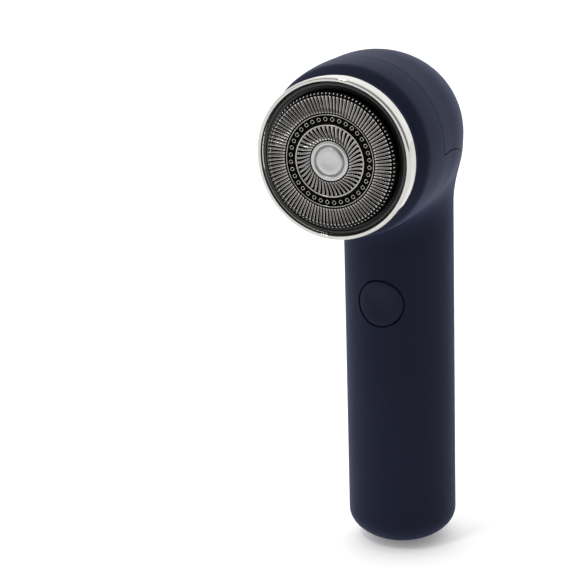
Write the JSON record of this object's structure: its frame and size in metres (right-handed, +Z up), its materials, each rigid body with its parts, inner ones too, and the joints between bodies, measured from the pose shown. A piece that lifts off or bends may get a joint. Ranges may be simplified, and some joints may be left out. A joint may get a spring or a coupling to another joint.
{
  "type": "electric shaver",
  "caption": "Cordless electric shaver: round soft-touch handle with a push button, forward-facing round rotary head with a slotted steel foil in a chrome ring.",
  "frame": {"origin": "middle of the flat at the foot of the handle, on the handle's axis", "axes": "+Z up along the handle, -Y forward along the shaving head's axis, +X to the right seen from behind the foil's face looking out"},
  "size_m": [0.0486, 0.0653, 0.1493],
  "materials": {
    "shell_navy": "soft-touch matte",
    "button_navy": "soft-touch matte",
    "black_plastic": "fine moulded satin",
    "white_plastic": "moulded nylon",
    "cutter_plastic": "moulded acetal",
    "chrome_plate": "polished",
    "foil_steel": "ground and etched",
    "cap_steel": "satin turned",
    "blade_steel": "ground",
    "screw_steel": "zinc plated",
    "motor_steel": "plated",
    "socket_steel": "nickel plated",
    "board_laminate": "solder mask",
    "battery_wrap": "shrink wrap",
    "nickel_strip": "satin",
    "ferrite": "sintered",
    "bronze": "sintered",
    "copper_winding": "enamelled",
    "seal_rubber": "matte",
    "wire_insulation": "satin",
    "spring_steel": "drawn wire"
  },
  "bodies": {
    "handle": {"front_shell": "shell_navy", "back_shell": "shell_navy", "switch_body": "black_plastic", "circuit_board": "board_laminate", "board_screws": "screw_steel", "inner_frame": "white_plastic", "usb_socket": "socket_steel", "usb_tongue": "black_plastic", "battery_cell": "battery_wrap", "battery_tabs": "nickel_strip", "motor_can": "motor_steel", "motor_end_cap": "white_plastic", "motor_magnets": "ferrite", "motor_bushes": "bronze", "motor_mount": "white_plastic", "motor_screws": "screw_steel", "motor_leads": "wire_insulation", "head_base": "black_plastic", "base_screws": "screw_steel", "shaft_seal": "seal_rubber"},
    "button": {"power_button": "button_navy", "switch_plunger": "black_plastic"},
    "rotor": {"motor_shaft": "motor_steel", "motor_armature": "copper_winding", "drive_hub": "cutter_plastic", "drive_spring": "spring_steel"},
    "drive": {"drive_cup": "cutter_plastic"},
    "shaving_head": {"chrome_ring": "chrome_plate", "foil_holder": "black_plastic", "head_seal": "seal_rubber", "cutter_retainer": "black_plastic"},
    "foil_unit": {"foil": "foil_steel", "foil_center_cap": "cap_steel"},
    "cutter": {"cutter_blades": "blade_steel", "cutter_carrier": "cutter_plastic"}
  },
  "joints": [
    {"name": "button_press", "type": "slide", "parent": "handle", "child": "button", "axis": [0, 1, 0], "range_m": [0, 0.0006], "stiffness_N_per_m": 2500},
    {"name": "rotor_spin", "type": "hinge", "parent": "handle", "child": "rotor", "pos_m": [0, -0.03, 0.125], "axis": [0, -1, 0], "continuous": true},
    {"name": "drive_slide", "type": "slide", "parent": "rotor", "child": "drive", "axis": [0, 1, 0], "range_m": [0, 0.0012], "stiffness_N_per_m": 200, "deforming": ["drive_spring"]},
    {"name": "head_release", "type": "slide", "parent": "handle", "child": "shaving_head", "axis": [0, -1, 0], "range_m": [0, 0.015]},
    {"name": "foil_float", "type": "slide", "parent": "shaving_head", "child": "foil_unit", "axis": [0, 1, 0], "range_m": [0, 0.0012], "stiffness_N_per_m": 500},
    {"name": "cutter_spin", "type": "hinge", "parent": "foil_unit", "child": "cutter", "pos_m": [0, -0.045, 0.125], "axis": [0, -1, 0], "continuous": true}
  ],
  "couplings": [
    {"joint": "cutter_spin", "follows": "rotor_spin", "ratio": 1},
    {"joint": "drive_slide", "follows": "foil_float", "ratio": 1}
  ]
}
